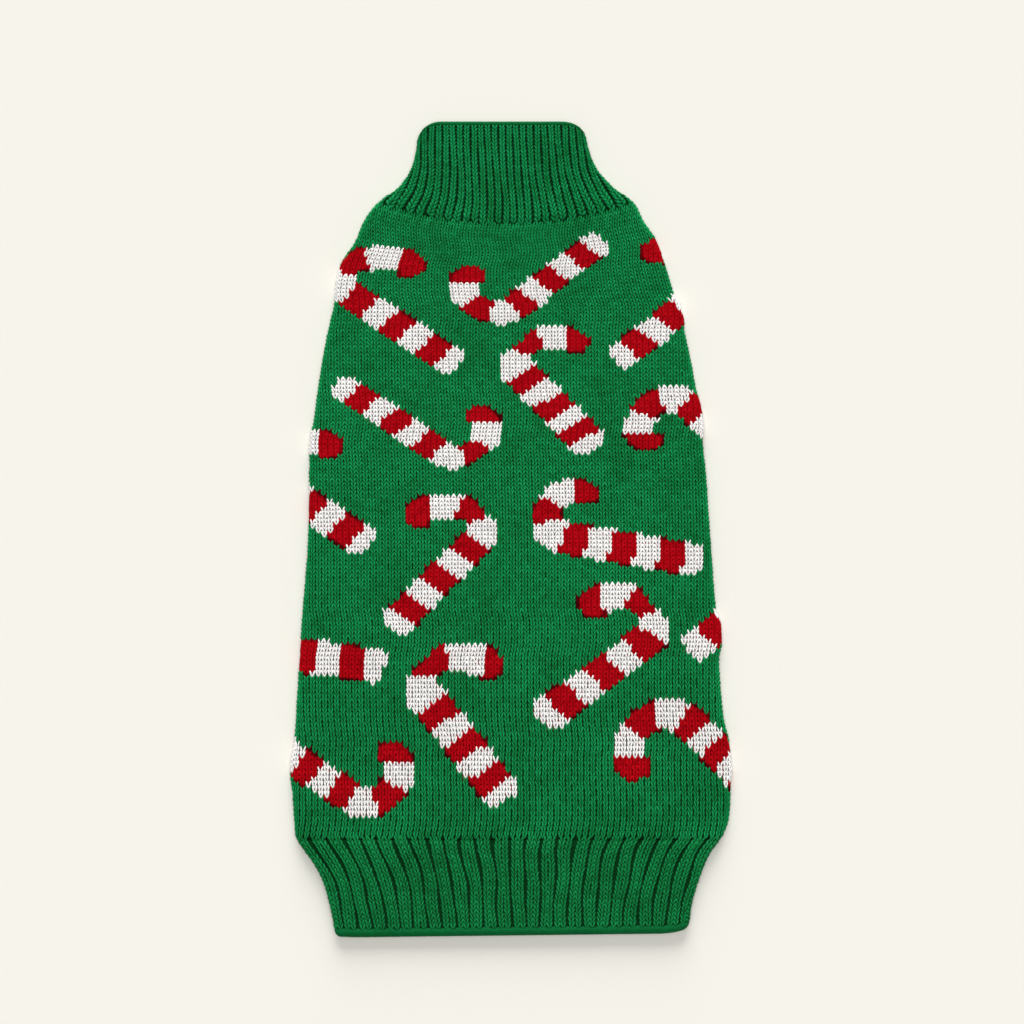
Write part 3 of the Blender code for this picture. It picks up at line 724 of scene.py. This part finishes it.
centre = body_point(s, rows + STITCH_MIDDLE * pitch, 0 * s)
opened = under & in_leg_opening(centre[:, 0], centre[:, 1], OPENING_CLEAR)
colour = cane_colours(middle_line(rows) + s, centre[:, 1])
drawn_thin = (COURSE / pitch) ** 0.6    # stitches stretched lengthwise get narrower
places = np.stack((column, rows, close * drawn_thin, pitch / COURSE, 0 * s + 1), axis=-1)
green_yarn = spun_acrylic("spun_acrylic_green", ("#0a7d3d", "#119653"), 0.02)
# The red yarn's dark rim colour is painted shade where it meets the green ground.
red_yarn = spun_acrylic("spun_acrylic_red", ("#a4000c", "#b40412"), 0.0, rim="#4a0006")
white_yarn = spun_acrylic("spun_acrylic_white", ("#f2f0ee", "#fffdfa"), 0.05)
neck_part = ~under & (rows > SPLIT_HEIGHT)
hem_part = ~under & (rows <= SPLIT_HEIGHT)
strip = under & ~opened
for name, part, drawn, loop, yarn in (
    ("back_stitches_green_neck", neck_part, GREEN, plain_loop, green_yarn),
    ("back_stitches_green_hem", hem_part, GREEN, plain_loop, green_yarn),
    ("back_stitches_red", ~under, RED, red_loop, red_yarn),
    ("back_stitches_white", ~under, WHITE, white_loop, white_yarn),
    ("back_strip_stitches_green", strip, GREEN, under_loop, green_yarn),
    ("back_strip_stitches_red", strip, RED, under_loop, red_yarn),
    ("back_strip_stitches_white", strip, WHITE, under_loop, white_yarn),
):
    piece = knit(name, loop, places[part & (colour == drawn)], back_lay)
    if name == "back_stitches_red":
        paint_rim_shade(piece)
    piece.data.materials.append(yarn)
    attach(piece, "root")

# ---- Belly panel ------------------------------------------------------------------
# A plain green piece of the same stockinette that closes the tube underneath, linked
# to the back along both sides by a wale of loops that runs down the seam. It lies flat
# on the table, face down.
BELLY_ROWS, BELLY_COLUMNS = 60, 40
BELLY_INSIDE = -2.4 * MM


def belly_point(column, aside, edge, out):
    """Point of the belly beside a wale: flat, and `out` metres below its face."""
    x = middle_line(edge) + column + aside
    across = across_at(x, fold_reach(-1, edge), fold_reach(1, edge))
    return np.stack((x, body_height(edge, across), -out + 0 * x), axis=-1)


edges = np.linspace(HEM_SEAM, NECK_SEAM, BELLY_ROWS)[:, None]
across = np.linspace(-1, 1, BELLY_COLUMNS)[None, :] * smooth_read(BELLY_HALF, 1, edges)
edges = edges + 0 * across
outer = belly_point(across, 0, edges, CLOTH_FACE)
inner = belly_point(across, 0, edges, BELLY_INSIDE)
belly_faces = sheet_faces(BELLY_ROWS, BELLY_COLUMNS)[:, ::-1]
belly_cloth = new_piece("belly_cloth", np.stack((outer, inner)), belly_faces)
cut_leg_openings(belly_cloth)
belly_cloth.data.attributes.new("tone", "FLOAT", "POINT")
belly_cloth.data.materials.append(loops_in_painted_shade)

seams = np.array((-1, 1))[None, :] * smooth_read(BELLY_HALF, 1, heights)[:, None]
column = np.concatenate((np.tile(wales, len(heights)), seams.ravel()))
rows = np.concatenate((np.repeat(heights, len(wales)), np.repeat(heights, 2)))
pitch = np.interp(rows, heights, pitches)
centre = belly_point(column, 0, rows + STITCH_MIDDLE * pitch, 0 * rows)
kept = np.abs(column) < smooth_read(BELLY_HALF, 1, rows) - SEAM_CLEAR
kept[-seams.size:] = True
kept &= ~in_leg_opening(centre[:, 0], centre[:, 1], OPENING_CLEAR)
places = np.stack((column, rows, 0 * rows + 1, pitch / COURSE, 0 * rows + 1), axis=-1)
belly_stitches = knit("belly_stitches_green", under_loop, places[kept], belly_point)
belly_stitches.data.materials.append(green_yarn)
for piece in (belly_cloth, belly_stitches):
    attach(piece, "root")
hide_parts("belly_panel")

# ---- Collar -------------------------------------------------------------------------
# A turtleneck in one-by-one rib: 25 plain wales on each side stand out as ribs, the
# purl wales between them sink back. It is linked to the body round the gathered neck
# and cast off at the top, where the edge rolls.
COLLAR = {
    "high": 6.0 * MM, "ribs": 25, "rise": 1.2 * MM, "power": 0.8, "roll": 2.0 * MM,
    "from": 186.35 * MM, "to": 232.6 * MM, "start": 0.25, "courses": 25, "crowd": 0.3,
}
COLLAR_CORNER = (13.5 * MM, 11.8 * MM, 9.5 * MM)
STRAY = 0.7 * MM           # how far the neck seam strays up and down
STRAY_LENGTHS = (12.7 * MM, 7.9 * MM)
WALE_APART = 0.465         # from a rib's middle to each of its two wales, in their widths
TUBE_INSIDE = -2.2 * MM
ROLL_MIDDLE = -1.4 * MM    # middle of the rolled edge, from the face of the rib
ROLL_DEEP = 1.2 * MM


def corner_drop(x, left, right, corner):
    """How far a rounded corner takes an edge back: a quarter ellipse at each fold.

    corner is the ellipses' width, then how deep the left and the right one are.
    """
    deepest = np.where(x - left < right - x, corner[1], corner[2])
    beyond = 1 - np.clip(np.minimum(x - left, right - x) / corner[0], 0, 1)
    return deepest * (1 - np.sqrt(1 - beyond ** 2))


def collar_height(station, x, left, right):
    """Height of a collar point: a bowed seam below, a rounded corner at each top end.

    The seam strays up and down by the sum of two sines, which dies out above it.
    """
    edge = COLLAR["from"] + station * (COLLAR["to"] - COLLAR["from"])
    bow = NECK_BOW * (1 - across_at(x, left, right) ** 2) * np.clip(1 - station, 0, 1) ** 1.5
    drop = corner_drop(x, left, right, COLLAR_CORNER)
    stray = np.sin(2 * math.pi * x / STRAY_LENGTHS[0])
    stray = stray + 0.8 * np.sin(2 * math.pi * x / STRAY_LENGTHS[1] + 1.3)
    stray = stray * STRAY * np.clip(1 - 4 * station, 0, 1) ** 2
    return edge + bow + stray - drop * np.clip(station, 0, 1) ** 3


COLLAR["height"] = collar_height


def rib_wander(place, station):
    """How far a rib strays sideways, in turns round the tube: two slow sine waves."""
    slow = 0.0020 * np.sin(2 * math.pi * (5.3 * place + 1.1 * station))
    return slow + 0.0013 * np.sin(2 * math.pi * (11.7 * place - 1.7 * station) + 0.8)


def rib_spread(tube, place, station):
    """Where a rib's place lies on the tube, in turns from the middle of the top.

    Towards the seam the ribs crowd to the middle, by the square of the way down, and
    the outer ones come round the folds. Also returns how dense they are there.
    """
    place = np.where(place > 1.5, place - 2, place) - 0.5
    crowd = tube["crowd"] * np.clip(1 - station, 0, 1) ** 2
    return place * (1 - crowd * (1 - np.abs(place))), 1 - crowd * (1 - 2 * np.abs(place))


def rib_point(tube, place, aside, station, out):
    """Point of a ribbed tube `out` metres outside its form.

    place is 0 at the left fold, 1 at the right and on to 2 underneath; station is 0 at
    the seam and 1 at the free edge. The upper layer rises in each rib by a power of a
    sine; it is lower at both ends.
    """
    edge = tube["from"] + station * (tube["to"] - tube["from"])
    left, right = fold_reach(-1, edge), fold_reach(1, edge)
    half = half_round(left, right, tube["high"])
    turns, density = rib_spread(tube, place, station)
    s = turns * 2 * half + aside
    x, z, out_x, out_z = laid_section(s, left, right, tube["high"])
    y = tube["height"](station, x, left, right)
    place = np.where(place > 1.5, place - 2, place) + 0.5 * aside / (half * density)
    phase = (place + rib_wander(place, station)) * tube["ribs"]
    ridge = np.abs(np.sin(math.pi * phase)) ** tube["power"]
    ends = np.clip(station / 0.04, 0.5, 1) * np.clip((1.02 - station) / 0.08, 0.2, 1)
    raised = np.maximum(out_z, 0) * tube["rise"] * ridge * ends + out
    return np.stack((x + raised * out_x, y, z + raised * out_z), axis=-1)


def tube_cloth(name, tube, rows, columns, start):
    """The dark inside of a ribbed tube: a thin closed sheet all round it."""
    station = np.linspace(start, 0.975, rows)[:, None]
    place = np.linspace(0, 2, columns, endpoint=False)[None, :] - 0.5
    station, place = station + 0 * place, place + 0 * station
    outer = rib_point(tube, place, 0, station, CLOTH_FACE)
    inner = rib_point(tube, place, 0, station, TUBE_INSIDE)
    piece = new_piece(name, np.stack((outer, inner)), sheet_faces(rows, columns, closed=True))
    piece.data.attributes.new("tone", "FLOAT", "POINT")
    # The sheet is dark green as painted shade between the stitches.
    piece.data.materials.append(loops_in_painted_shade)
    return piece


def tube_places(tube, ribs, sides, width):
    """Places of a tube's stitches: a wale on each of the sides of each rib's middle.

    A side is -1 or 1 where a rib has two wales, and 0 where it has one.
    """
    courses = tube["courses"]
    length = tube["to"] - tube["from"]
    last = 1 - tube["roll"] / abs(length)
    station = (np.arange(courses) + tube["start"]) / courses * last
    station, rib, side = np.meshgrid(station, ribs, sides, indexing="ij")
    station, rib, side = station.ravel(), rib.ravel(), side.ravel()
    edge = tube["from"] + station * length
    half = half_round(fold_reach(-1, edge), fold_reach(1, edge), tube["high"])
    pitch = 2 * half / tube["ribs"] * rib_spread(tube, rib / tube["ribs"], station)[1]
    wide = width(pitch) / WALE
    place = (rib + WALE_APART * side * width(pitch) / pitch) / tube["ribs"]
    place = place - rib_wander(place, station)
    high = last * abs(length) / courses / COURSE
    return np.stack((place, station, wide, high + 0 * wide, 1 / length + 0 * wide), axis=-1)


def closed_ring(name, points, first):
    """A piece whose grid of points closes on itself both ways, wound with yarn.

    The pattern of its yarn runs 60 times round it, and each face starts at its corner
    number `first`.
    """
    rows, columns = points.shape[:2]
    a = np.arange(rows * columns).reshape(rows, columns)
    b = np.roll(a, -1, axis=0)
    faces = np.stack((a, b, np.roll(b, -1, axis=1), np.roll(a, -1, axis=1)), axis=-1)
    corner = np.array(((0, 0), (1, 0), (1, 1), (0, 1)))
    place = np.stack(np.meshgrid(np.arange(rows), np.arange(columns), indexing="ij"), axis=-1)
    uv = (place.reshape(-1, 1, 2) + np.roll(corner, -first, axis=0)) / (rows, columns)
    faces = np.roll(faces.reshape(-1, 4), -first, axis=1)
    tone = 0.5 + 0 * points[..., 0]
    return new_piece(name, points, faces, {"OFBake": uv, "yarn": uv * (60, 1)}, tone)


def edge_roll(name, tube, round_it, thick):
    """The cast-off edge, which rolls: a round cord all along the rim, a little uneven.

    Its half height and half depth swell by two sines, one of them with the ribs.
    """
    along = np.linspace(-0.5, 1.5, round_it, endpoint=False)[:, None]
    turn = np.linspace(0, 2 * math.pi, 10, endpoint=False)[None, :]
    length = abs(tube["to"] - tube["from"])
    lump = 1 + 0.07 * np.sin(2 * math.pi * tube["ribs"] * along)
    lump = lump + 0.05 * np.sin(2 * math.pi * 31 * along + 1.0)
    half_high = thick * lump
    station = 1 - (half_high - half_high * np.cos(turn)) / length
    out = ROLL_MIDDLE + ROLL_DEEP * lump * np.sin(turn)
    return closed_ring(name, rib_point(tube, along + 0 * turn, 0, station, out), 1)


# The rolled edges are the same green yarn painted darker: painted shade for the shade that real
# stitches would cast on each other, which the smooth cord lacks.
cast_off_painted_shade = spun_acrylic("spun_acrylic_green_cast_off_painted_shade", ("#065a2a", "#0a6835"), 0.02)
rib_yarn = spun_acrylic("spun_acrylic_green_collar", ("#0a7c3c", "#119453"), 0.02)


def rib_width(pitch):
    """Width of the one plain wale that makes a rib of the collar."""
    return 0.9 * pitch


collar_cloth = tube_cloth("collar_cloth", COLLAR, 16, 300, -0.045)
collar_pieces = []
# The two outermost ribs that come round each fold have the loops of the upper side.
for name, ribs, loop in (
    ("collar_stitches", np.arange(-2, 27) + 0.5, plain_loop),
    ("collar_under_stitches", np.arange(27, 48) + 0.5, under_loop),
):
    places = tube_places(COLLAR, ribs, (0,), rib_width)
    collar_pieces.append(knit(name, loop, places, functools.partial(rib_point, COLLAR)))
collar_pieces.append(edge_roll("collar_cast_off_edge", COLLAR, 360, 1.1 * MM))
for piece in collar_pieces:
    piece.data.materials.append(cast_off_painted_shade if piece is collar_pieces[-1] else rib_yarn)
for piece in [collar_cloth] + collar_pieces:
    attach(piece, "root")
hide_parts("collar")

# ---- Hem rib ------------------------------------------------------------------------
# The waistband, knitted straight on from the body in two-by-one rib, all round: 26
# ribs of two plain wales on each side. It draws in, and its lower edge rolls.
HEM = {
    "high": 6.0 * MM, "ribs": 26, "rise": 1.4 * MM, "power": 0.35, "roll": 3.2 * MM,
    "from": -176.45 * MM, "to": -231.4 * MM, "start": 0.15, "courses": 20, "crowd": 0.0,
}
HEM_SLANT = 1.2 * MM
HEM_CORNER = (18.0 * MM, 1.0 * MM, 5.0 * MM)


def hem_height(station, x, left, right):
    """Height of a hem point: a level seam above, a slightly slanting edge below."""
    edge = HEM["from"] + station * (HEM["to"] - HEM["from"])
    drop = corner_drop(x, left, right, HEM_CORNER) * np.clip(station, 0, 1) ** 3
    return edge + HEM_SLANT * across_at(x, left, right) * station + drop


HEM["height"] = hem_height


def hem_width(pitch):
    """Width of each of the two plain wales of a hem rib: it narrows less than the rib."""
    return 2.38 * MM + 0.165 * pitch


hem_yarn = spun_acrylic("spun_acrylic_green_hem", ("#0a7036", "#108747"), 0.02)
hem_cloth = tube_cloth("hem_cloth", HEM, 15, 420, 0.002)
hem_pieces = []
for name, ribs, loop in (
    ("hem_stitches", np.arange(26) + 0.5, plain_loop),
    ("hem_under_stitches", np.arange(26, 52) + 0.5, under_loop),
):
    places = tube_places(HEM, ribs, (-1, 1), hem_width)
    hem_pieces.append(knit(name, loop, places, functools.partial(rib_point, HEM)))
hem_pieces.append(edge_roll("hem_cast_off_edge", HEM, 520, 2.5 * MM))
for piece in hem_pieces:
    piece.data.materials.append(cast_off_painted_shade if piece is hem_pieces[-1] else hem_yarn)
for piece in [hem_cloth] + hem_pieces:
    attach(piece, "root")
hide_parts("hem_rib")

# ---- Leg cuffs ----------------------------------------------------------------------
# A short ribbed band round each leg opening, 11 mm wide, linked into the lower layer and
# hidden underneath. Its section is a squared oval, grooved on both faces between ribs.
CUFF_WIDTH = 10.7 * MM
CUFF_THICK = 2.6 * MM
CUFF_INSET = 0.3 * MM
CUFF_SQUARE = 0.6
CUFF_RIBS = 44
CUFF_GROOVE = 0.25 * MM

for side, name in ((-1, "left"), (1, "right")):
    angle = np.linspace(0, 2 * math.pi, 264, endpoint=False)[:, None]
    turn = np.linspace(0, 2 * math.pi, 16, endpoint=False)[None, :]
    groove = CUFF_GROOVE * (1 - np.cos(CUFF_RIBS * angle)) * (np.abs(np.sin(turn)) > 0.5)
    outward = np.sign(np.cos(turn)) * np.abs(np.cos(turn)) ** CUFF_SQUARE
    inward = CUFF_INSET + 0.5 * CUFF_WIDTH * (1 - outward)
    upward = np.sign(np.sin(turn)) * np.abs(np.sin(turn)) ** CUFF_SQUARE
    z = 0.5 * CUFF_THICK * (1 + upward) - upward * groove
    x = (OPENING_HALF[0] - inward) * np.sin(angle)
    y = (OPENING_HALF[1] - inward) * np.cos(angle)
    tilt = side * OPENING_TILT
    points = np.stack((opening_middle(side) + x * math.cos(tilt) - y * math.sin(tilt),
                       OPENING_HEIGHT + x * math.sin(tilt) + y * math.cos(tilt), z), axis=-1)
    cuff = closed_ring("cuff_" + name, points, 0)
    cuff.data.materials.append(hem_yarn)
    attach(cuff, "root")
    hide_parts("leg_cuff_" + name)

# ---- Floor, camera and light ------------------------------------------------------
# A seamless pale paper sweep with a 2.5 mm grain, two very large far softboxes and a
# dim room. The camera looks straight down from 2 m.
CAMERA_HIGH = 2.0
SEEN_WIDTH = 0.5837        # what the picture spans at the height of the cloth's middle
CLOTH_MIDDLE = 0.005
SENSOR = 36.0

floor_mesh = bpy.data.meshes.new("floor")
floor_mesh.from_pydata([(-3, -3, 0), (3, -3, 0), (3, 3, 0), (-3, 3, 0)], [], [(0, 1, 2, 3)])
floor = bpy.data.objects.new("floor", floor_mesh)
bpy.context.scene.collection.objects.link(floor)
paper = bpy.data.materials.new("matt_paper_white")
paper.use_nodes = True
tree = paper.node_tree
shader = tree.nodes["Principled BSDF"]
shader.inputs["Roughness"].default_value = 0.95
shader.inputs["Specular IOR Level"].default_value = 0.1
place = add_node(tree, "ShaderNodeTexCoord", {})
grain = add_node(tree, "ShaderNodeTexNoise", {}, Vector=place.outputs["Object"], Scale=400.0)
ramp = add_node(tree, "ShaderNodeValToRGB", {}, Fac=grain.outputs["Fac"])
ramp.color_ramp.elements[0].color = linear("#f6f3ea")
ramp.color_ramp.elements[1].color = linear("#f8f5ec")
tree.links.new(ramp.outputs["Color"], shader.inputs["Base Color"])
floor_mesh.materials.append(paper)

camera_data = bpy.data.cameras.new("camera")
camera = bpy.data.objects.new("camera", camera_data)
bpy.context.scene.collection.objects.link(camera)
camera.location = (0.00057, 0.0100, CAMERA_HIGH)
camera_data.sensor_width = SENSOR
camera_data.lens = SENSOR * (CAMERA_HIGH - CLOTH_MIDDLE) / SEEN_WIDTH
bpy.context.scene.camera = camera

for name, tilt, wide, power in (("softbox_beyond_neck", 70.0, 40.0, 3.33),
                                ("softbox_overhead", 0.0, 40.0, 1.38)):
    lamp_data = bpy.data.lights.new(name, "SUN")
    lamp_data.energy = power
    lamp_data.angle = math.radians(wide)
    lamp = bpy.data.objects.new(name, lamp_data)
    bpy.context.scene.collection.objects.link(lamp)
    lamp.rotation_euler = (-math.radians(tilt), 0.0, 0.0)
world = bpy.data.worlds.new("dim_room")
bpy.context.scene.world = world
world.use_nodes = True
world.node_tree.nodes["Background"].inputs["Color"].default_value = (1.0, 1.0, 1.0, 1.0)
world.node_tree.nodes["Background"].inputs["Strength"].default_value = 0.20
bpy.context.scene.view_settings.view_transform = "Standard"
